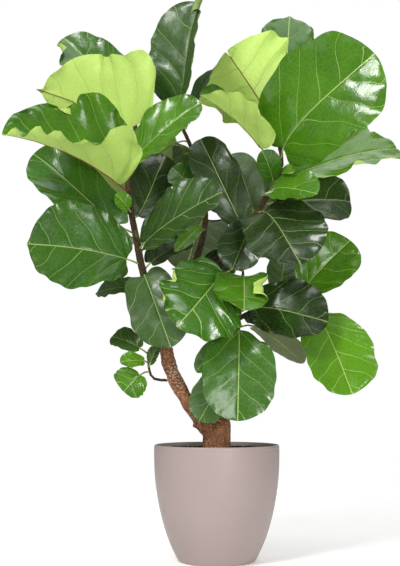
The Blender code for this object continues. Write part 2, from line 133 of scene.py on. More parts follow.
# Notches and, where the depth is negative, lobes in a leaf's outline, each as (place across,
# place along, depth, reach): places run from -1 to 1 and 0 to 1, and the depth is the share of
# the way to the blade's middle.
NOTCHES = {
    "leaf_01": ((-0.9, 0.05, -0.32, 0.20), (-0.9, 0.55, 0.12, 0.10), (0.0, 1.0, -0.10, 0.11)),
    "leaf_03": (
        (1.0, 0.60, 0.30, 0.07),
        (1.0, 0.42, -0.10, 0.10),
        (-1.0, 0.44, 0.24, 0.13),
        (-1.0, 0.24, -0.26, 0.06),
    ),
    "leaf_08": ((-0.9, 0.15, 0.10, 0.12), (0.0, 0.90, -0.07, 0.40)),
    "leaf_12": ((0.9, 0.80, 0.18, 0.07), (-0.9, 0.60, 0.16, 0.08)),
    "leaf_19": ((0.0, 1.0, 0.22, 0.13), (-1.0, 0.80, -0.10, 0.12), (1.0, 0.80, -0.10, 0.12)),
    "leaf_20": ((-1.0, 0.55, 0.16, 0.08), (1.0, 0.78, 0.16, 0.08), (0.0, 0.95, -0.06, 0.30)),
    "leaf_21": ((1.0, 0.55, 0.09, 0.08), (-1.0, 0.70, 0.07, 0.08), (1.0, 0.80, -0.05, 0.08)),
    "leaf_23": (
        (-1.0, 0.72, -0.36, 0.07),
        (1.0, 0.84, -0.20, 0.12),
        (-1.0, 0.52, 0.20, 0.10),
        (1.0, 0.48, 0.12, 0.10),
    ),
    "leaf_31": ((1.0, 0.60, 0.14, 0.30),),
    "leaf_34": ((-1.0, 0.06, 0.36, 0.13), (1.0, 0.06, 0.36, 0.13), (1.0, 0.62, 0.05, 0.08)),
    "leaf_35": ((0.0, 0.10, -0.20, 0.35), (1.0, 0.40, -0.12, 0.30)),
    "leaf_39": ((-1.0, 0.62, 0.05, 0.10), (1.0, 0.80, 0.05, 0.08)),
}
BLUSHED = ("leaf_01", "leaf_19", "leaf_03")  # leaves with a reddish midrib underneath

# Side veins
VEIN_CURVE = 0.85
VEIN_ROUNDS = 12  # steps in which the foot of each point's vein is found
VEIN_CLIMB = 0.44  # how far along the blade a vein climbs on its way to the margin
FEWEST_VEINS = 3.0
BASIC_VEINS = 2.6  # before those that the blade's width adds
WIDTH_PER_VEIN = 0.19
LEFT_SHIFT = 0.32  # how much later the left veins leave the midrib than the right ones

# Noise on the blades, as waves in a metre
MARGIN_WAVES = 16.0
FRILL_WAVES = 60.0
DIMPLE_WAVES = 38.0
GROOVE_WIDTH = 0.0035
FULL_WIDTH = 0.20  # the width of a large blade; narrower ones have finer veins
MOST_ROLL = 3.4  # radians that a margin rolls over

# Potting soil
SOIL_RINGS = 34
SOIL_SIDES = 120
WALL_CLEARANCE = 0.0012
STUMP_CLEARANCE = 0.0006
SOIL_DIP = 0.0008  # from the node's top to the bed next to the stump
SOIL_SAG = 0.0018  # how much lower the bed lies at the wall
TALLEST_LUMP = 0.004
BED_DEPTH = 0.035
BED_TAPER = 0.995
CRUMB_FLATNESS = 0.65

LIP_LINE_WIDTH = 0.0011  # half the width of the line under the planter's lip
ON_AXIS = 1e-5
# Painted shade in the bark's cracks: their darkening stands for the shade inside them.
CRACK_PAINTED_SHADE = 0.35  # a crack's colour as a share of the bark's darkest
NUB_RADIUS = 0.0055
STEM_RING_GAP = 0.021  # between the rings where leaves once grew on a stem

# Lamps: name, place, point aimed at, side, colour and the setting that holds the power
LAMPS = (
    ("key", (-1.6, -2.3, 2.9), (0.0, 0.0, 0.85), 0.85, (1.0, 0.99, 0.97), "key_power"),
    ("fill", (0.9, -3.0, 0.70), (0.0, 0.0, 0.5), 1.1, (1.0, 1.0, 1.0), "fill_power"),
    ("top", (0.3, 0.2, 3.4), (0.0, 0.0, 0.85), 2.2, (1.0, 1.0, 1.0), "top_power"),
    ("back", (0.4, 3.0, 1.9), (0.0, 0.0, 0.85), 2.2, (1.0, 1.0, 1.0), "rim_power"),
)
WHITE = (1.0, 1.0, 1.0, 1.0)
CAMERA_PLACE = (-0.04, -2.4, 0.39)
CAMERA_RISE = 6.47  # degrees above level


# ---------------------------------------------------------------- nodes


def put(tree, value, socket):
    """Gives a socket its value, or a link to the level or socket that it follows."""
    if isinstance(value, Level):
        value = value.socket
    if isinstance(value, bpy.types.NodeSocket):
        tree.links.new(value, socket)
    else:
        socket.default_value = value


def add_node(tree, kind, settings, values):
    made = tree.nodes.new(kind)
    for label, value in settings.items():
        setattr(made, label, value)
    for label, value in values.items():
        put(tree, value, made.inputs[label])
    return made


class Level:
    """A number in a node tree. Arithmetic on it adds Math nodes."""

    def __init__(self, shader, socket):
        self.shader = shader
        self.socket = socket

    def math(self, operation, *others):
        values = dict(enumerate((self, *others)))
        return self.shader.level("ShaderNodeMath", {"operation": operation}, values)

    def __add__(self, other):
        return self.math("ADD", other)

    def __sub__(self, other):
        return self.math("SUBTRACT", other)

    def __rsub__(self, other):
        return self.shader.level("ShaderNodeMath", {"operation": "SUBTRACT"}, {0: other, 1: self})

    def __mul__(self, other):
        return self.math("MULTIPLY", other)

    def __truediv__(self, other):
        return self.math("DIVIDE", other)

    __radd__ = __add__
    __rmul__ = __mul__

    def size(self):
        return self.math("ABSOLUTE")

    def larger(self, other):
        return self.math("MAXIMUM", other)

    def fade(self, low, high, start=0.0, end=1.0):
        """Runs smoothly from start to end as the number goes from low to high."""
        values = {"Value": self, "From Min": low, "From Max": high, "To Min": start, "To Max": end}
        return self.shader.level("ShaderNodeMapRange", {"interpolation_type": "SMOOTHSTEP"}, values)


class Shader:
    """A material and the nodes that are often added to it."""

    def __init__(self, name, **constants):
        self.material = bpy.data.materials.new(name)
        self.material.use_nodes = True
        self.tree = self.material.node_tree
        self.surface = self.tree.nodes["Principled BSDF"]
        for label, value in constants.items():
            self.surface.inputs[label.replace("_", " ")].default_value = value

    def node(self, kind, settings, values):
        return add_node(self.tree, kind, settings, values)

    def level(self, kind, settings, values, output=0):
        return Level(self, self.node(kind, settings, values).outputs[output])

    def blend(self, factor, first, second):
        """A colour between two others."""
        pair = [c if isinstance(c, bpy.types.NodeSocket) else (*c, 1.0) for c in (first, second)]
        values = {0: factor, 6: pair[0], 7: pair[1]}
        return self.node("ShaderNodeMix", {"data_type": "RGBA"}, values).outputs[2]

    def place(self, stretch=(1.0, 1.0, 1.0)):
        """Object coordinates, stretched."""
        where = self.node("ShaderNodeTexCoord", {}, {}).outputs["Object"]
        return self.node("ShaderNodeMapping", {}, {"Vector": where, "Scale": stretch}).outputs[0]

    def cloud(self, where, scale, detail=3.0, roughness=0.55):
        values = {"Vector": where, "Scale": scale, "Detail": detail, "Roughness": roughness}
        return self.level("ShaderNodeTexNoise", {}, values)

    def attribute(self, name):
        return self.level("ShaderNodeAttribute", {"attribute_name": name}, {}, "Fac")

    def map_parts(self, name):
        """The two numbers of a UV map."""
        where = self.node("ShaderNodeUVMap", {"uv_map": name}, {}).outputs[0]
        parts = self.node("ShaderNodeSeparateXYZ", {}, {0: where})
        return where, Level(self, parts.outputs[0]), Level(self, parts.outputs[1])

    def bump(self, height, depth, strength=1.0):
        values = {"Height": height, "Distance": depth, "Strength": strength}
        return self.node("ShaderNodeBump", {}, values).outputs[0]

    def finish(self, **links):
        for label, value in links.items():
            put(self.tree, value, self.surface.inputs[label.replace("_", " ")])
        return self.material


def vein_masks(shader):
    """How strongly the midrib, the side veins and the net between them show."""
    where, across, _ = shader.map_parts("blade")
    _, phase, spacing = shader.map_parts("veins")
    distance = across.size()
    midrib = distance.fade(0.0005, 0.0019, 1.0, 0.0)
    near = ((phase + 0.5).math("FRACT") - 0.5).size() * spacing
    thin = distance.fade(0.0, 0.10, 0.0013, 0.0006)
    side = (near / thin).fade(0.3, 1.0, 1.0, 0.0)
    cells = shader.level(
        "ShaderNodeTexVoronoi",
        {"feature": "DISTANCE_TO_EDGE", "voronoi_dimensions": "2D"},
        {"Vector": where, "Scale": 75.0, "Randomness": 0.9},
    )
    net = cells.fade(0.0, 0.07, 1.0, 0.0)
    return midrib, side, net


def upper_leaf_material(look):
    shader = Shader("leaf_upper_side", Specular_IOR_Level=0.42, Coat_Roughness=0.1, Coat_Weight=0.08)
    midrib, side, net = vein_masks(shader)
    place = shader.place()
    patches = shader.cloud(place, 11.0)
    tone = shader.attribute("tone")
    bloom = shader.attribute("bloom")
    # Painted shade: the green runs from the crown's painted shade through a grown leaf's green to a young
    # leaf's bright green, and the veins dull with the shade.
    share = tone + (patches - 0.5) * 0.45
    green = shader.blend(share.fade(0.0, 0.55), look.painted_shade_green, look.mid_green)
    green = shader.blend(share.fade(0.5, 1.05), green, look.bright_green)
    green = shader.blend(bloom, green, look.grey_green)
    veins = (midrib * 0.85).larger(side * 0.52).larger(net * 0.10)
    vein_green = shader.blend(tone * 0.7 + 0.3, look.dull_vein, look.vein_green)
    colour = shader.blend(veins, green, vein_green)
    grain = shader.cloud(place, 420.0, 2.0)
    smears = shader.cloud(shader.place((1.0, 1.0, 0.6)), 34.0)
    rough = smears.fade(0.3, 0.75, look.gloss, look.gloss + 0.15)
    rough = rough + veins * 0.12 + bloom * 0.22 - tone * 0.10 + 0.06
    pucker = shader.cloud(place, 70.0, 2.0)
    height = grain * 0.12 + pucker * 1.5 - net * 0.10 - side * 0.6
    return shader.finish(Base_Color=colour, Roughness=rough, Normal=shader.bump(height, 0.0007, 0.7))


def under_leaf_material(look):
    shader = Shader("leaf_underside", Specular_IOR_Level=0.35)
    midrib, side, net = vein_masks(shader)
    place = shader.place()
    patches = shader.cloud(place, 9.0)
    tone = shader.attribute("tone")
    share = tone + (patches - 0.5) * 0.3
    # Painted light and shade on the underside: a high value paints light shining through the leaf, a low one
    # the crown's shade, and below 0 the deeper painted shade of the crown's inside.
    green = shader.blend(share.fade(0.0, 0.9), look.painted_shade_underside, look.painted_backlight_underside)
    green = shader.blend(share.fade(-0.4, 0.1, 0.8, 0.0), green, look.painted_shade_green)
    green = shader.blend(shader.attribute("bloom"), green, look.grey_underside)
    ribs = (side * 0.5).larger(net * 0.2)
    colour = shader.blend(ribs, green, look.under_veins)
    rib_colour = shader.blend(shader.attribute("blush"), look.vein_green, look.blushed_rib)
    colour = shader.blend(midrib, colour, rib_colour)
    grain = shader.cloud(place, 500.0, 2.0)
    height = side + net * 0.5 + grain * 0.3
    return shader.finish(
        Base_Color=colour,
        Roughness=patches.fade(0.2, 0.8, 0.5, 0.66),
        Normal=shader.bump(height, 0.0008, 0.7),
    )


def petiole_material(look):
    shader = Shader("leaf_stalk", Specular_IOR_Level=0.4)
    mottled = shader.cloud(shader.place(), 60.0)
    green = shader.blend(mottled.fade(0.35, 0.7), look.stalk_green, look.stalk_brown)
    colour = shader.blend(shader.attribute("blush"), green, look.blushed_rib)
    grain = shader.cloud(shader.place((1.0, 1.0, 0.3)), 700.0, 2.0)
    return shader.finish(
        Base_Color=colour,
        Roughness=mottled.fade(0.2, 0.8, 0.38, 0.58),
        Normal=shader.bump(grain, 0.0004, 0.5),
    )


def bark_material(name, dark, light, speck, scale):
    """Rough bark: streaks along the wood, pale specks and dark cracks with painted shade in them."""
    shader = Shader(name, Specular_IOR_Level=0.3)
    place = shader.place()
    streaks = shader.cloud(shader.place((1.0, 1.0, 0.45)), 70.0 * scale, 6.0, 0.65)
    patches = shader.cloud(place, 14.0 * scale, 4.0)
    fine = shader.cloud(place, 420.0 * scale, 3.0, 0.7)
    cracks = shader.level(
        "ShaderNodeTexVoronoi",
        {"feature": "DISTANCE_TO_EDGE"},
        {"Vector": shader.place((1.0, 1.0, 1.9)), "Scale": 95.0 * scale, "Randomness": 1.0},
    )
    crack = cracks.fade(0.0, 0.12, 1.0, 0.0) * patches.fade(0.36, 0.58)
    colour = shader.blend(streaks.fade(0.3, 0.7), dark, light)
    colour = shader.blend(patches.fade(0.52, 0.78, 0.0, 0.55), colour, speck)
    colour = shader.blend(fine.fade(0.6, 0.78, 0.0, 0.5), colour, speck)
    # Painted shade: the cracks are darkened where shade falls into them.
    colour = shader.blend(crack * 0.8, colour, [part * CRACK_PAINTED_SHADE for part in dark])
    height = streaks + fine * 0.45 - crack * 0.9
    return shader.finish(
        Base_Color=colour,
        Roughness=fine.fade(0.3, 0.7, 0.68, 0.92),
        Normal=shader.bump(height, 0.0032, 1.0),
    )


def planter_material(look):
    """Matte moulded plastic with a fine even grain and the faintest marks of handling."""
    shader = Shader("planter_matte_plastic", Specular_IOR_Level=0.42)
    place = shader.place()
    clouds = shader.cloud(place, 5.0)
    grain = shader.cloud(place, 900.0, 2.0)
    colour = shader.blend(clouds.fade(0.3, 0.7, 0.0, 0.35), look.colour, look.shade)
    colour = shader.blend(grain.fade(0.55, 0.8, 0.0, 0.18), colour, look.shade)
    scuffs = shader.cloud(shader.place((1.0, 1.0, 0.15)), 60.0, 4.0)
    return shader.finish(
        Base_Color=colour,
        Roughness=scuffs.fade(0.35, 0.75, look.roughness - 0.05, look.roughness + 0.06),
        Normal=shader.bump(grain, 0.0003, 0.35),
    )


def soil_material(look):
    shader = Shader("potting_soil", Specular_IOR_Level=0.2)
    place = shader.place()
    crumbs = shader.cloud(place, 120.0, 6.0, 0.7)
    # The near-black colours hold painted shade of the planter's inside as well as the soil's own colour.
    colour = shader.blend(crumbs.fade(0.35, 0.7), look.dark, look.light)
    damp = shader.cloud(place, 18.0)
    return shader.finish(
        Base_Color=colour,
        Roughness=damp.fade(0.3, 0.7, 0.78, 0.98),
        Normal=shader.bump(crumbs, 0.003, 1.0),
    )


# ---------------------------------------------------------------- meshes


def merged(node):
    """A copy of a CAD node's mesh with its loose triangles joined."""
    shape = bmesh.new()
    shape.from_mesh(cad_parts[node].data)
    bmesh.ops.remove_doubles(shape, verts=shape.verts, dist=MERGE)
    return shape


def add_piece(name, mesh):
    made = bpy.data.objects.new(name, mesh)
    bpy.context.scene.collection.objects.link(made)
    return made


def settle(piece, slot, *nodes):
    """The piece moves with the plant and stands for the nodes, which are hidden; the slot is not used."""
    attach(piece, BODY)
    if nodes:
        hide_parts(*nodes)


def mesh_from(shape, name):
    """The bmesh as a mesh; the bmesh goes."""
    mesh = bpy.data.meshes.new(name)
    shape.to_mesh(mesh)
    shape.free()
    return mesh


def evaluated_copy(host, name):
    """The host's mesh with its modifiers applied, as an object of its own; the host goes."""
    graph = bpy.context.evaluated_depsgraph_get()
    mesh = bpy.data.meshes.new_from_object(host.evaluated_get(graph), depsgraph=graph)
    mesh.name = name
    bpy.data.objects.remove(host)
    return add_piece(name, mesh)


def remeshed(node, name, voxel, smooth_steps):
    """A CAD node's solid as an even mesh of small quads, with its facets softened."""
    host = add_piece(f"{node}_host", mesh_from(merged(node), f"{node}_host"))
    remesh = host.modifiers.new("even", "REMESH")
    remesh.mode = "VOXEL"
    remesh.voxel_size = voxel
    soften = host.modifiers.new("soften", "SMOOTH")
    soften.iterations = smooth_steps
    return evaluated_copy(host, name)


def add_wood(node, name, voxel, smooth_steps, height, surface, slot):
    """A CAD node's wood as a fine mesh: each vertex moves along its normal by the height there."""
    piece = remeshed(node, name, voxel, smooth_steps)
    mesh = piece.data
    moved = [v.co + v.normal * height(v.co) for v in mesh.vertices]
    mesh.vertices.foreach_set("co", np.array(moved, np.float32).ravel())
    mesh.update()
    mesh.materials.clear()
    mesh.materials.append(surface)
    mesh.shade_smooth()
    settle(piece, slot, node)


def scatter_tree(name, surface):
    """A node tree that scatters small lumps over a mesh, with its sizes as named inputs."""
    tree = bpy.data.node_groups.new(name, "GeometryNodeTree")
    sockets = {}
    tree.interface.new_socket("Geometry", in_out="INPUT", socket_type="NodeSocketGeometry")
    for label in ("Density", "Smallest", "Largest", "Flatness", "Seed"):
        kind = "NodeSocketInt" if label == "Seed" else "NodeSocketFloat"
        sockets[label] = tree.interface.new_socket(label, in_out="INPUT", socket_type=kind).identifier
    tree.interface.new_socket("Geometry", in_out="OUTPUT", socket_type="NodeSocketGeometry")

    def step(kind, values, settings=None):
        return add_node(tree, kind, settings or {}, values).outputs

    given = step("NodeGroupInput", {})
    places = {"Mesh": given["Geometry"], "Density": given["Density"], "Seed": given["Seed"]}
    points = step("GeometryNodeDistributePointsOnFaces", places)
    lump = step("GeometryNodeMeshIcoSphere", {"Radius": 1.0, "Subdivisions": 1})
    sizes = {2: given["Smallest"], 3: given["Largest"], "Seed": given["Seed"]}
    size = step("FunctionNodeRandomValue", sizes)[1]
    thin = step("ShaderNodeMath", {0: size, 1: given["Flatness"]}, {"operation": "MULTIPLY"})[0]
    flat = step("ShaderNodeCombineXYZ", {0: size, 1: size, 2: thin})[0]
    spin = step("FunctionNodeRandomValue", {3: 2 * math.pi})[1]
    turn = step("ShaderNodeCombineXYZ", {2: spin})[0]
    turn = step("FunctionNodeEulerToRotation", {0: turn})[0]
    local = {"rotation_space": "LOCAL"}
    facing = step("FunctionNodeRotateRotation", {0: points["Rotation"], 1: turn}, local)[0]
    copies = {"Points": points["Points"], "Instance": lump["Mesh"], "Rotation": facing, "Scale": flat}
    spread = step("GeometryNodeInstanceOnPoints", copies)[0]
    real = step("GeometryNodeRealizeInstances", {0: spread})[0]
    step("NodeGroupOutput", {0: step("GeometryNodeSetMaterial", {"Geometry": real, "Material": surface})[0]})
    return tree, sockets


def scatter(name, mesh, surface, sizes):
    """Lumps scattered over a mesh, as a piece of their own."""
    host = add_piece(f"{name}_host", mesh)
    tree, sockets = scatter_tree(name, surface)
    step = host.modifiers.new(name, "NODES")
    step.node_group = tree
    for label, value in sizes.items():
        step[sockets[label]] = value
    piece = evaluated_copy(host, name)
    piece.data.shade_smooth()
    return piece


# ---------------------------------------------------------------- leaves


def layers_from(pole):
    """The rings of a leaf's mesh, one edge further from the pole each time."""
    seen = {pole}
    layers = []
    front = [pole]
    while front:
        ahead = {edge.other_vert(v) for v in front for edge in v.link_edges} - seen
        seen |= ahead
        front = list(ahead)
        layers.append(ahead)
    return layers[:-1]


def spread_of(ring):
    """How far the ring's furthest point lies from its middle."""
    middle = sum((v.co for v in ring), Vector()) / len(ring)
    return max((v.co - middle).length for v in ring)


def ordered(ring, beside, left_links):
    """A ring's points from the left margin over the upper side and back underneath.

    The blade's triangles make the left margin's point the only one with left_links edges to the
    ring beside it, and the right margin lies four steps on over the upper side, five underneath.
    """
    links = {v: sum(e.other_vert(v) in beside for e in v.link_edges) for v in ring}
    left = next(v for v in ring if links[v] == left_links)
    right = next(v for v in ring if links[v] == 4 - left_links)
    for first in (e.other_vert(left) for e in left.link_edges if e.other_vert(left) in ring):
        walk = [left, first]
        while len(walk) < len(ring):
            here = walk[-1]
            onward = (e.other_vert(here) for e in here.link_edges)
            walk.append(next(v for v in onward if v in ring and v not in walk))
        if walk[4] is right:
            return [v.co.copy() for v in walk]
    raise RuntimeError("a leaf's ring doesn't run from margin to margin")


def read_leaf(node):
    """(foot, rings, tip) of a leaf's CAD solid."""
    shape = merged(node)
    poles = [v for v in shape.verts if len(v.link_edges) == RING_POINTS]
    if len(poles) != 2:
        raise RuntimeError(f"{node} doesn't have a foot and a tip")
    runs = [layers_from(pole) for pole in poles]
    foot = 0 if spread_of(runs[0][0]) < spread_of(runs[1][0]) else 1
    rings = [r for r in runs[foot] if len(r) == RING_POINTS]
    points = [ordered(rings[0], rings[1], 3)]
    points += [ordered(ring, near, 1) for near, ring in zip(rings, rings[1:])]
    ends = poles[foot].co.copy(), poles[1 - foot].co.copy()
    shape.free()
    return ends[0], points, ends[1]


def catmull(rows, at):
    """The smooth curve through rows at a position counted in rows; rows has a ghost at each end."""
    k = min(int(at), len(rows) - 4)
    t = at - k
    p0, p1, p2, p3 = rows[k:k + 4]
    return (
        p1 * (2 * t**3 - 3 * t**2 + 1)
        + (p2 - p0) / 2 * (t**3 - 2 * t**2 + t)
        + p2 * (3 * t**2 - 2 * t**3)
        + (p3 - p1) / 2 * (t**3 - t**2)
    )


class Blade:
    """The fine grid of one leaf's blade: rows from base to tip, columns from left to right."""

    def __init__(self, node, settings):
        self.node = node
        self.settings = settings
        self.seed = 7.31 * int(node[-2:])
        # The first value is the brightness of the green, with the crown's painted shade in it.
        self.tone, self.bloom, self.crinkle, self.rolls = LEAF_LOOKS.get(node, PLAIN_LOOK)
        self.foot, rings, self.tip = read_leaf(node)
        self.stalk = [sum(ring, Vector()) / RING_POINTS for ring in rings[:PETIOLE_RINGS]]
        self.stalk_radius = (rings[1][0] - self.stalk[1]).length
        half = settings.columns
        steps = np.linspace(0.0, 1.0, half + 1) ** settings.midrib_crowding
        self.across = np.concatenate([-steps[:0:-1], steps])
        self.grid = self.surface(rings[PETIOLE_RINGS:])
        self.measure()
        self.shape_outline()
        self.raise_quilting()
        self.measure()

    def surface(self, rings):
        """Smooth rows through the CAD rings, with a rounded base and tip."""
        share = np.abs(self.across)[:, None]
        weights = ((1 - share) * (1 - 2 * share), 4 * share * (1 - share), share * (2 * share - 1))
        left = (self.across < 0)[:, None]
        rows = []
        for ring in rings:
            margin_l, middle_l, crest, middle_r, margin_r = (np.array(p) for p in ring[:5])
            middle = np.where(left, middle_l, middle_r)
            margin = np.where(left, margin_l, margin_r)
            rows.append(weights[0] * crest + weights[1] * middle + weights[2] * margin)
        base = np.tile(np.array(self.stalk[-1]), (len(self.across), 1))
        tip = np.tile(np.array(self.tip), (len(self.across), 1))
        rows = [rows[0][::-1], base, *rows, tip, rows[-1][::-1]]
        spots = np.linspace(0.0, len(rows) - 3, self.settings.rows + 1)
        return np.array([catmull(rows, spot) for spot in spots])

    def measure(self):
        """Distances along and across, directions and the place of every point between the veins."""
        grid = self.grid
        centre = grid[:, self.settings.columns]
        steps = np.linalg.norm(np.diff(centre, axis=0), axis=1)
        self.along = np.concatenate([[0.0], np.cumsum(steps)])
        self.length = self.along[-1]
        self.part = self.along / self.length
        gaps = np.linalg.norm(np.diff(grid, axis=1), axis=2)
        run = np.concatenate([np.zeros((len(grid), 1)), np.cumsum(gaps, axis=1)], axis=1)
        self.sideways = run - run[:, [self.settings.columns]]
        self.width = (run[:, -1]).max()
        right = np.gradient(grid, axis=1)
        forward = np.gradient(grid, axis=0)
        normal = np.cross(right, forward)
        lengths = np.linalg.norm(normal, axis=2, keepdims=True)
        facing = normal.sum(axis=(0, 1))
        facing = facing / np.linalg.norm(facing)
        self.normal = np.where(lengths > 1e-10, normal / np.maximum(lengths, 1e-10), facing)
        self.phase, self.spacing = self.veins()

    def veins(self):
        """Each point's place between the side veins, whole numbers lying on a vein.

        A side vein leaves the midrib at m and reaches the margin further on; the base's pair fans
        out from the petiole.
        """
        part = self.part[:, None]
        reach = np.abs(self.across)[None, :] ** VEIN_CURVE
        start = np.zeros((len(self.part), len(self.across))) + part
        for _ in range(VEIN_ROUNDS):
            start = part - VEIN_CLIMB * np.maximum(1.0 - start, 0.02) ** 0.6 * reach
        left = (self.across < 0)[None, :]
        count = max(FEWEST_VEINS, round(BASIC_VEINS + self.width / WIDTH_PER_VEIN))
        shift = LEFT_SHIFT * np.clip(start * 2.5, 0.0, 1.0) * left
        bends = 0.12 * np.sin(5.0 * start + self.seed) + 0.06 * np.sin(11.0 * part + 2 * self.seed)
        bends = bends + 0.05 * np.sin(9.0 * self.across + 5.0 * part + self.seed)
        phase = start * count + shift + bends
        gap = self.length / count * (0.80 - 0.35 * np.abs(self.across)[None, :]) + 0 * start
        return phase, gap

    def wobble(self, scale, offset):
        """Smooth noise over the blade, from about -1 to 1."""
        spot = Vector((self.seed, offset, 0.0))
        rows = [[noise.noise(Vector(p) * scale + spot) for p in row] for row in self.grid]
        return np.array(rows)

    def shape_outline(self):
        """The margin's shallow lobes, in the plane of the blade."""
        centre = self.grid[:, [self.settings.columns]]
        sides = np.where(self.across < 0, -1.0, 1.0)[None, :]
        turn = 2 * math.pi * (2.3 * self.part[:, None] + 0.27 * sides)
        ease = np.sin(math.pi * np.clip(self.part, 0.0, 1.0))[:, None] ** 0.5
        lobes = 0.045 * np.sin(turn + self.seed) + 0.032 * np.sin(2.1 * turn + 1.7 * self.seed)
        swell = 1.0 + self.crinkle * lobes * ease * np.abs(self.across)[None, :] ** 2
        self.grid = centre + (self.grid - centre) * swell[:, :, None]
        middle = self.grid[len(self.part) // 2, self.settings.columns]
        for across, along, depth, reach in NOTCHES.get(self.node, ()):
            off = ((self.across[None, :] - across) / (2.2 * reach)) ** 2
            off = off + ((self.part[:, None] - along) / reach) ** 2
            self.grid = self.grid + (middle - self.grid) * (depth * np.exp(-off))[:, :, None]

    def raise_quilting(self):
        """The blade bulges between its veins, dips along them and waves at its margin."""
        settings = self.settings
        share = np.abs(self.across)[None, :]
        part = self.part[:, None]
        ends = np.clip(np.minimum(part, 1.0 - part) * 9.0, 0.0, 1.0)
        pillow = np.abs(np.sin(math.pi * self.phase)) ** 0.75
        inside = np.clip(share * 7.0, 0.0, 1.0) * (1.0 - 0.35 * share)
        height = settings.quilting * self.width * (pillow - 0.55) * inside * ends
        height -= settings.groove * np.exp(-((self.sideways / GROOVE_WIDTH) ** 2)) * (1.0 - 0.6 * part)
        wave = 0.6 * np.sin(2 * math.pi * self.phase) + self.wobble(MARGIN_WAVES, 3.0)
        height += settings.waving * self.width * self.crinkle * wave * share**3 * ends
        frill = self.wobble(FRILL_WAVES, 9.0)
        height += settings.frill * self.crinkle * frill * share**5 * ends
        height += settings.dimples * self.wobble(DIMPLE_WAVES, 5.0) * ends
        self.grid = self.grid + self.normal * height[:, :, None]
        self.base_grid = self.grid.copy()
        for side, start, end, edge, radius in self.rolls:
            self.roll(side, start, end, edge, radius)

    def roll(self, side, start, end, edge, radius):
        """Rolls a stretch of one margin over onto the upper side."""
        columns = [k for k, a in enumerate(self.across) if a * side > 0]
        for row, part in enumerate(self.part):
            strength = min(part - start, end - part) / (end - start) * 2
            if strength <= 0:
                continue
            first = 1.0 - (1.0 - edge) * min(1.0, strength * 1.6)
            reach = max(abs(self.sideways[row, k]) for k in columns)
            hinge = first * reach
            for k in columns:
                beyond = abs(self.sideways[row, k]) - hinge
                if beyond <= 0:
                    continue
                pivot = self.hinge_point(row, side, hinge)
                outward = self.grid[row, k] - pivot
                outward = outward / max(np.linalg.norm(outward), 1e-9)
                angle = min(beyond / radius, MOST_ROLL)
                over = radius * math.sin(angle)
                lift = radius * (1.0 - math.cos(angle))
                rest = beyond - angle * radius
                over += rest * math.cos(angle)
                lift += rest * math.sin(angle)
                self.grid[row, k] = pivot + outward * over + self.normal[row, k] * lift

    def hinge_point(self, row, side, hinge):
        """The point of a row where a roll starts, at a distance from the midrib."""
        order = range(len(self.across)) if side > 0 else reversed(range(len(self.across)))
        here = None
        for k in order:
            if self.across[k] * side <= 0:
                here = k
                continue
            if abs(self.sideways[row, k]) >= hinge:
                near, far = abs(self.sideways[row, here]), abs(self.sideways[row, k])
                t = (hinge - near) / max(far - near, 1e-9)
                return self.base_grid[row, here] * (1 - t) + self.base_grid[row, k] * t
            here = k
        return self.base_grid[row, here]

    def build(self):
        """The blade as a closed shell, with its stalk and the rib under it."""
        rows, columns = self.grid.shape[:2]
        thick = self.settings.thickness * (1.0 - 0.5 * self.part[:, None])
        thick = thick * (1.0 - 0.45 * np.abs(self.across)[None, :] ** 3)
        under = self.grid - self.normal * thick[:, :, None]
        inner = range(1, rows - 1)
        # A narrower blade's veins are drawn finer.
        fine = max(1.0, min(2.2, (FULL_WIDTH / self.width) ** 0.7))
        points = [self.grid[0, columns // 2], self.grid[-1, columns // 2]]
        maps = [(0.0, 0.0, self.phase[0, 0], self.spacing[0, 0])]
        maps.append((0.0, self.length, self.phase[-1, 0], self.spacing[-1, 0]))
        top = {}
        low = {}
        for r in inner:
            for c in range(columns):
                top[r, c] = len(points)
                points.append(self.grid[r, c])
                aside = self.sideways[r, c] * fine
                maps.append((aside, self.along[r], self.phase[r, c], self.spacing[r, c] * fine))
        for r in inner:
            for c in range(columns):
                if c in (0, columns - 1):
                    low[r, c] = top[r, c]
                    continue
                low[r, c] = len(points)
                points.append(under[r, c])
                maps.append(maps[top[r, c]])
        faces = []
        sides = []
        for c in range(columns - 1):
            faces.append((0, top[1, c + 1], top[1, c])[::-1])
            faces.append((0, low[1, c], low[1, c + 1])[::-1])
            faces.append((1, top[rows - 2, c], top[rows - 2, c + 1])[::-1])
            faces.append((1, low[rows - 2, c + 1], low[rows - 2, c])[::-1])
            sides += [0, 1, 0, 1]
        for r in range(1, rows - 2):
            for c in range(columns - 1):
                faces.append((top[r, c], top[r, c + 1], top[r + 1, c + 1], top[r + 1, c]))
                faces.append((low[r, c], low[r + 1, c], low[r + 1, c + 1], low[r, c + 1]))
                sides += [0, 1]
        self.add_stalk(points, maps, faces, sides)
        return points, maps, faces, sides

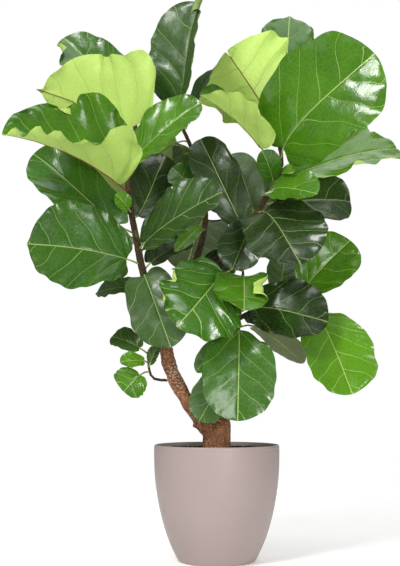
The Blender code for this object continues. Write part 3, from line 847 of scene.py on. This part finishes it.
    def add_stalk(self, points, maps, faces, sides):
        """A closed tube from the stem to the blade, thinning into the rib under it."""
        centre = self.grid[:, self.settings.columns]
        down = -self.normal[:, self.settings.columns]
        radius = self.stalk_radius
        path = [np.array(self.foot)] + [np.array(p) for p in self.stalk]
        widths = [radius * 1.35, radius * 1.25, radius, radius * 1.05]
        for row in range(3, len(centre) - 2, 3):
            width = radius * (0.95 - 0.72 * self.part[row])
            path.append(centre[row] + down[row] * (width * 0.62 + self.settings.thickness * 0.5))
            widths.append(width)
        path = np.array(path)
        sides_round = self.settings.stalk_sides
        direction = np.gradient(path, axis=0)
        direction /= np.linalg.norm(direction, axis=1, keepdims=True)
        aside = self.normal[len(centre) // 2, self.settings.columns]
        rings = []
        for point, ahead, width in zip(path, direction, widths):
            aside = aside - ahead * np.dot(aside, ahead)
            aside = aside / np.linalg.norm(aside)
            other = np.cross(ahead, aside)
            ring = []
            for k in range(sides_round):
                turn = 2 * math.pi * k / sides_round
                ring.append(len(points))
                points.append(point + aside * (width * math.cos(turn)) + other * (width * math.sin(turn)))
                maps.append((0.0, 0.0, 0.5, 0.01))
            rings.append(ring)
        for near, far in zip(rings, rings[1:]):
            for k in range(sides_round):
                after = (k + 1) % sides_round
                faces.append((near[k], near[after], far[after], far[k]))
                sides.append(2)
        faces.append(tuple(reversed(rings[0])))
        faces.append(tuple(rings[-1]))
        sides += [2, 2]


def leaf_mesh(node, settings, materials):
    """A leaf's mesh with its materials, its vein maps, the brightness of its green with its painted shade,
    its bloom and its blush.
    """
    blade = Blade(node, settings)
    points, maps, faces, sides = blade.build()
    mesh = bpy.data.meshes.new(f"{node}_blade")
    mesh.from_pydata([tuple(p) for p in points], [], faces)
    for surface in materials:
        mesh.materials.append(surface)
    mesh.polygons.foreach_set("material_index", sides)
    corners = np.empty(len(mesh.loops), np.int32)
    mesh.loops.foreach_get("vertex_index", corners)
    values = np.array(maps, np.float32)[corners]
    for name, pair in (("blade", values[:, :2]), ("veins", values[:, 2:])):
        mesh.uv_layers.new(name=name).data.foreach_set("uv", np.ascontiguousarray(pair).ravel())
    looks = {"tone": blade.tone, "bloom": blade.bloom, "blush": float(node in BLUSHED)}
    for name, value in looks.items():
        layer = mesh.attributes.new(name, "FLOAT", "POINT")
        layer.data.foreach_set("value", np.full(len(points), value, np.float32))
    mesh.shade_smooth()
    mesh.set_sharp_from_angle(angle=math.radians(70))
    return mesh


# ---------------------------------------------------------------- settings


def number_property(name, description, default, **kind):
    return bpy.props.FloatProperty(name=name, description=description, default=default, **kind)


def size_property(name, description, default):
    return number_property(name, description, default, min=0.0, subtype="DISTANCE", unit="LENGTH")


def count_property(name, description, default, least):
    return bpy.props.IntProperty(name=name, description=description, default=default, min=least)


def colour_property(name, description, code):
    return bpy.props.FloatVectorProperty(
        name=name, description=description, default=linear(code), subtype="COLOR", min=0.0, max=1.0
    )


class FIG_PG_leaves(bpy.types.PropertyGroup):
    """Shape and colours of the leaves."""

    thickness: size_property("Thickness", "Thickness of a blade at its base", 0.0009)
    groove: size_property("Midrib groove", "Depth of the midrib on the upper side", 0.0014)
    frill: size_property("Frill", "Height of the small crinkles at the margin", 0.0045)
    dimples: size_property("Dimples", "Height of the uneven surface between veins", 0.0011)
    quilting: number_property("Quilting", "Bulge between side veins, as a share of the width", 0.010)
    waving: number_property("Waving", "Waves of the margin, as a share of the width", 0.042)
    midrib_crowding: number_property("Crowding", "How much closer the columns lie at the midrib", 1.35)
    columns: count_property("Columns", "Columns on each side", 20, 4)
    rows: count_property("Rows", "Rows from base to tip", 64, 8)
    stalk_sides: count_property("Stalk sides", "Sides of a stalk", 10, 5)
    gloss: number_property("Roughness", "Roughness of the waxy upper side", 0.19, subtype="FACTOR")
    # Painted shade: the darkest green stands for the shade inside the crown.
    painted_shade_green: colour_property("Deep green", "Upper side in the crown's shade", "16290a")
    mid_green: colour_property("Middle green", "Upper side of a grown leaf", "31600d")
    bright_green: colour_property("Bright green", "Upper side of a young leaf", "588e0c")
    grey_green: colour_property("Grey green", "Bloom and dust on the upper side", "4b5f3c")
    vein_green: colour_property("Vein green", "Veins of a bright leaf's upper side", "b4cd6c")
    dull_vein: colour_property("Dull vein", "Veins of a dark leaf's upper side", "6f8a55")
    painted_backlight_underside: colour_property("Light underside", "Underside with light through it", "bcdc6c")
    painted_shade_underside: colour_property("Dull underside", "Underside in shade", "6c883c")
    grey_underside: colour_property("Grey underside", "Underside of an old leaf", "666c55")
    under_veins: colour_property("Underside veins", "Side veins of the underside", "93ab4e")
    blushed_rib: colour_property("Blushed midrib", "Reddish midrib of some undersides", "7c4a2c")
    stalk_green: colour_property("Stalk green", "Green of the stalks", "8fae4c")
    stalk_brown: colour_property("Stalk brown", "Brown flecks of the stalks", "6b5a35")


class FIG_PG_wood(bpy.types.PropertyGroup):
    """Relief and colours of the trunk and stems."""

    trunk_voxel: size_property("Trunk mesh size", "Edge of the trunk's small faces", 0.0024)
    nub_height: size_property("Nub", "Height of the broken twig's nub on the trunk", 0.0100)
    stem_voxel: size_property("Stem mesh size", "Edge of the stems' small faces", 0.0014)
    trunk_relief: size_property("Trunk relief", "Height of the trunk's bumps", 0.0028)
    stem_relief: size_property("Stem relief", "Height of the stems' bumps", 0.0009)
    trunk_dark: colour_property("Trunk dark", "Dark streaks of the trunk", "8a563d")
    trunk_light: colour_property("Trunk light", "Light streaks of the trunk", "c08a64")
    trunk_speck: colour_property("Trunk specks", "Pale specks of the trunk", "d9bda2")
    stem_dark: colour_property("Stem dark", "Dark skin of the stems", "33251a")
    stem_light: colour_property("Stem light", "Lighter skin of the stems", "5c452b")
    stem_speck: colour_property("Stem green", "Green showing through the stems' skin", "7f8a3e")


class FIG_PG_planter(bpy.types.PropertyGroup):
    """Shape and colour of the planter."""

    sides: count_property("Sides", "Sides of the turned wall", 144, 12)
    steps: count_property("Steps", "Steps between two profile points", 4, 1)
    lip_drop: size_property("Lip drop", "From the top to the line under the rolled lip", 0.0100)
    lip_line: size_property("Lip line", "Depth of the line under the rolled lip", 0.00025)
    roughness: number_property("Roughness", "Roughness of the matte plastic", 0.45, subtype="FACTOR")
    colour: colour_property("Colour", "Warm grey of the plastic", "9f908c")
    shade: colour_property("Shade", "Slightly darker grey in the plastic", "968684")


class FIG_PG_soil(bpy.types.PropertyGroup):
    """Crumbs and colours of the potting soil."""

    relief: size_property("Relief", "Height of the soil's lumps", 0.0030)
    smallest: size_property("Smallest crumb", "Radius of the smallest crumb", 0.0010)
    largest: size_property("Largest crumb", "Radius of the largest crumb", 0.0034)
    density: number_property("Density", "Crumbs on a square metre", 26000.0, min=0.0)
    seed: count_property("Seed", "Seed of the crumbs' places", 5, 0)
    # Both soil colours are near-black: the soil's own dark colour with painted shade of the planter's inside
    # on it.
    dark: colour_property("Dark", "Damp soil", "0f0b09")
    light: colour_property("Light", "Dry fibres in the soil", "32261d")


class FIG_PG_stage(bpy.types.PropertyGroup):
    """Floor, lamps and camera."""

    floor_size: size_property("Floor", "Side of the square floor", 3.6)
    floor_colour: colour_property("Floor colour", "Pale floor", "fdfdfd")
    floor_glow: number_property("Floor glow", "Light that the floor gives off itself", 0.22)
    key_power: number_property("Key", "Key lamp", 86.0, unit="POWER")
    fill_power: number_property("Fill", "Fill lamp", 42.0, unit="POWER")
    top_power: number_property("Top", "Lamp overhead", 32.0, unit="POWER")
    rim_power: number_property("Back", "Lamp behind", 30.0, unit="POWER")
    sky: number_property("Room light", "Light from all round", 0.30)
    lens: number_property("Lens", "Focal length of the camera, in millimetres", 62.8)
    sensor: number_property("Sensor", "Height of the camera's sensor, in millimetres", 36.0)


# ---------------------------------------------------------------- operators


class FIG_OT_planter(bpy.types.Operator):
    """Turn the planter from the profile of its node"""

    bl_idname = "fig.planter"
    bl_label = "Planter"

    def profile(self):
        """The (radius, height) points of the CAD wall's section, from the underside to the floor."""
        shape = merged("planter")
        section = {v for v in shape.verts if abs(v.co.y) < ON_AXIS and v.co.x > -ON_AXIS}
        walk = [min(section, key=lambda v: (v.co.z, v.co.x))]
        while True:
            here = walk[-1]
            ahead = [e.other_vert(here) for e in here.link_edges]
            ahead = [v for v in ahead if v in section and v not in walk]
            if not ahead:
                break
            walk.append(ahead[0])
        points = [(v.co.x, v.co.z) for v in walk]
        shape.free()
        return points

    def smooth_profile(self, look):
        """The section as a fine curve, with the line under the lip pressed into it."""
        points = [np.array(p) for p in self.profile()]
        rows = [points[0], *points, points[-1]]
        spots = np.linspace(0.0, len(points) - 1, (len(points) - 1) * look.steps + 1)
        fine = [catmull(rows, spot) for spot in spots]
        top = max(p[1] for p in points)
        crest = next(k for k, p in enumerate(fine) if p[1] >= top - 1e-4)
        line = top - look.lip_drop
        out = []
        for k, (radius, height) in enumerate(fine):
            if k < crest:
                radius -= look.lip_line * math.exp(-(((height - line) / LIP_LINE_WIDTH) ** 2))
            out.append((max(radius, 0.0), max(height, 0.0)))
        for step in (-2, -1, 0, 1, 2):
            height = line + step * LIP_LINE_WIDTH
            after = next(k for k, p in enumerate(out) if p[1] > height)
            (r0, z0), (r1, z1) = out[after - 1], out[after]
            radius = r0 + (r1 - r0) * (height - z0) / (z1 - z0)
            dent = look.lip_line * math.exp(-(step**2))
            out.insert(after, (radius - dent, height))
        return out

    def execute(self, context):
        look = context.scene.fig_planter
        shape = bmesh.new()
        rings = []
        turns = [2 * math.pi * k / look.sides for k in range(look.sides)]
        for radius, height in self.smooth_profile(look):
            if radius < ON_AXIS:
                rings.append([shape.verts.new((0.0, 0.0, height))])
                continue
            places = [(radius * math.cos(a), radius * math.sin(a), height) for a in turns]
            rings.append([shape.verts.new(place) for place in places])
        for lower, upper in zip(rings, rings[1:]):
            for k in range(look.sides):
                after = (k + 1) % look.sides
                corners = [lower[k % len(lower)], lower[after % len(lower)]]
                corners += [upper[after % len(upper)], upper[k % len(upper)]]
                shape.faces.new(dict.fromkeys(corners))
        bmesh.ops.recalc_face_normals(shape, faces=shape.faces)
        mesh = mesh_from(shape, "planter_wall")
        mesh.materials.append(planter_material(look))
        mesh.shade_smooth()
        mesh.set_sharp_from_angle(angle=math.radians(60))
        settle(add_piece("planter_wall", mesh), "planter", "planter")
        return {"FINISHED"}


class FIG_OT_soil(bpy.types.Operator):
    """Fill the planter with lumpy soil and scatter crumbs over it"""

    bl_idname = "fig.soil"
    bl_label = "Potting soil"

    def execute(self, context):
        look = context.scene.fig_soil
        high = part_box("potting_soil")[1]
        rim = high.x - WALL_CLEARANCE
        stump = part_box("trunk")[1].x - STUMP_CLEARANCE
        top = high.z
        shape = bmesh.new()
        loops = []
        for k in range(SOIL_RINGS + 1):
            share = k / SOIL_RINGS
            radius = stump + (rim - stump) * share
            level = top - SOIL_DIP - SOIL_SAG * math.sin(share * math.pi / 2)
            loop = []
            for j in range(SOIL_SIDES):
                turn = 2 * math.pi * j / SOIL_SIDES
                place = Vector((radius * math.cos(turn), radius * math.sin(turn), level))
                lump = noise.fractal(place * 55.0, 0.9, 2.1, 4) * look.relief
                place.z += min(lump, TALLEST_LUMP)
                loop.append(shape.verts.new(place))
            loops.append(loop)
        base = top - BED_DEPTH
        foot = [shape.verts.new((v.co.x * BED_TAPER, v.co.y * BED_TAPER, base)) for v in loops[-1]]
        hub = [shape.verts.new((v.co.x, v.co.y, base)) for v in loops[0]]
        for near, far in zip([*loops, foot, hub], [*loops[1:], foot, hub, loops[0]]):
            for j in range(SOIL_SIDES):
                after = (j + 1) % SOIL_SIDES
                shape.faces.new((near[j], far[j], far[after], near[after]))
        bmesh.ops.recalc_face_normals(shape, faces=shape.faces)
        mesh = bpy.data.meshes.new("soil_bed")
        shape.to_mesh(mesh)
        surface = soil_material(look)
        mesh.materials.append(surface)
        mesh.shade_smooth()
        settle(add_piece("soil_bed", mesh), "soil", "potting_soil")
        seat = [f for f in shape.faces if f.normal.z < 0.5]
        bmesh.ops.delete(shape, geom=seat, context="FACES")
        sizes = {"Density": look.density, "Smallest": look.smallest, "Largest": look.largest}
        sizes |= {"Flatness": CRUMB_FLATNESS, "Seed": look.seed}
        settle(scatter("soil_crumbs", mesh_from(shape, "soil_top"), surface, sizes), "soil")
        return {"FINISHED"}


class FIG_OT_trunk(bpy.types.Operator):
    """Give the stump and its leaning branch their bark"""

    bl_idname = "fig.trunk"
    bl_label = "Trunk"

    def execute(self, context):
        look = context.scene.fig_wood

        def height(place):
            broad = noise.noise(place * 34.0) * 1.3
            knots = noise.fractal(place * 85.0, 0.8, 2.2, 4) * 0.8
            ridges = -abs(noise.noise(Vector((place.x * 150, place.y * 150, place.z * 60))))
            nub = look.nub_height * math.exp(-(((place - Vector(NUB)).length / NUB_RADIUS) ** 2))
            return (broad + knots + ridges) * look.trunk_relief * 0.55 + nub

        bark = bark_material("trunk_bark", look.trunk_dark, look.trunk_light, look.trunk_speck, 1.0)
        add_wood("trunk", "trunk_bark", look.trunk_voxel, 6, height, bark, "bark")
        return {"FINISHED"}


class FIG_OT_stems(bpy.types.Operator):
    """Give every stem and the twig their rough skin"""

    bl_idname = "fig.stems"
    bl_label = "Stems"

    def execute(self, context):
        look = context.scene.fig_wood
        skin = bark_material("stem_skin", look.stem_dark, look.stem_light, look.stem_speck, 2.0)

        def height(place):
            rings = max(0.0, math.sin(place.z * 2 * math.pi / STEM_RING_GAP) - 0.75) * 2.6
            knots = noise.fractal(place * 190.0, 0.8, 2.2, 3)
            return (rings + knots) * look.stem_relief * 0.6

        for name in STEMS:
            add_wood(name, f"{name}_skin", look.stem_voxel, 4, height, skin, "stem")
        return {"FINISHED"}


class FIG_OT_leaves(bpy.types.Operator):
    """Replace every leaf by a veined and waved blade on its stalk"""

    bl_idname = "fig.leaves"
    bl_label = "Leaves"

    def execute(self, context):
        look = context.scene.fig_leaves
        materials = [upper_leaf_material(look), under_leaf_material(look), petiole_material(look)]
        for node in LEAVES:
            piece = add_piece(f"{node}_blade", leaf_mesh(node, look, materials))
            settle(piece, "leaf", node)
        return {"FINISHED"}


class FIG_OT_stage(bpy.types.Operator):
    """Set out the pale floor, the soft lamps and the camera"""

    bl_idname = "fig.stage"
    bl_label = "Stage"

    def lamp(self, name, place, aim, width, colour, power):
        data = bpy.data.lights.new(name, "AREA")
        data.shape = "SQUARE"
        data.size = width
        data.energy = power
        data.color = colour
        made = add_piece(name, data)
        made.location = place
        made.rotation_euler = (Vector(aim) - Vector(place)).to_track_quat("-Z", "Y").to_euler()

    def execute(self, context):
        look = context.scene.fig_stage
        shape = bmesh.new()
        bmesh.ops.create_grid(shape, x_segments=1, y_segments=1, size=look.floor_size / 2)
        mesh = mesh_from(shape, "floor")
        finish = {"Roughness": 0.9, "Specular_IOR_Level": 0.1, "Emission_Strength": look.floor_glow}
        pale = Shader("pale_floor", **finish)
        dust = pale.cloud(pale.place(), 3.0)
        tint = look.floor_colour
        colour = pale.blend(dust.fade(0.3, 0.7), tint, [part * 0.99 for part in tint])
        mesh.materials.append(pale.finish(Base_Color=colour))
        add_piece("floor", mesh)

        for *lamp, power in LAMPS:
            self.lamp(*lamp, getattr(look, power))

        world = bpy.data.worlds.new("room")
        world.use_nodes = True
        context.scene.world = world
        tree = world.node_tree
        room = tree.nodes["Background"]
        put(tree, WHITE, room.inputs["Color"])
        put(tree, look.sky, room.inputs["Strength"])
        bright = add_node(tree, "ShaderNodeBackground", {}, {"Color": WHITE, "Strength": 1.0})
        seen = add_node(tree, "ShaderNodeLightPath", {}, {}).outputs["Is Camera Ray"]
        parts = {0: seen, 1: room.outputs[0], 2: bright.outputs[0]}
        mix = add_node(tree, "ShaderNodeMixShader", {}, parts)
        put(tree, mix.outputs[0], tree.nodes["World Output"].inputs["Surface"])
        context.scene.view_settings.view_transform = "Standard"

        camera = add_piece("camera", bpy.data.cameras.new("camera"))
        camera.data.sensor_fit = "VERTICAL"
        camera.data.sensor_height = look.sensor
        camera.data.lens = look.lens
        camera.location = CAMERA_PLACE
        camera.rotation_euler = Euler((math.radians(90.0 + CAMERA_RISE), 0.0, 0.0))
        context.scene.camera = camera
        return {"FINISHED"}


class FIG_PT_pieces(bpy.types.Panel):
    """Buttons and settings for every group of pieces"""

    bl_idname = "FIG_PT_pieces"
    bl_label = "Fiddle leaf fig"
    bl_space_type = "VIEW_3D"
    bl_region_type = "UI"
    bl_category = "Fiddle leaf fig"

    def draw(self, context):
        for operator in OPERATORS:
            self.layout.operator(operator.bl_idname)
        for name, group in SETTINGS.items():
            box = self.layout.box()
            box.label(text=group.__doc__)
            for label in group.__annotations__:
                box.prop(getattr(context.scene, name), label)


OPERATORS = (FIG_OT_planter, FIG_OT_soil, FIG_OT_trunk, FIG_OT_stems, FIG_OT_leaves, FIG_OT_stage)
SETTINGS = {
    "fig_planter": FIG_PG_planter,
    "fig_soil": FIG_PG_soil,
    "fig_wood": FIG_PG_wood,
    "fig_leaves": FIG_PG_leaves,
    "fig_stage": FIG_PG_stage,
}


def register():
    for kind in (*SETTINGS.values(), *OPERATORS, FIG_PT_pieces):
        bpy.utils.register_class(kind)
    for name, group in SETTINGS.items():
        setattr(bpy.types.Scene, name, bpy.props.PointerProperty(type=group))


def unregister():
    for name in SETTINGS:
        delattr(bpy.types.Scene, name)
    for kind in reversed((*SETTINGS.values(), *OPERATORS, FIG_PT_pieces)):
        bpy.utils.unregister_class(kind)


def main():
    register()
    for operator in OPERATORS:
        group, name = operator.bl_idname.split(".")
        getattr(getattr(bpy.ops, group), name)()


if __name__ == "__main__":
    main()
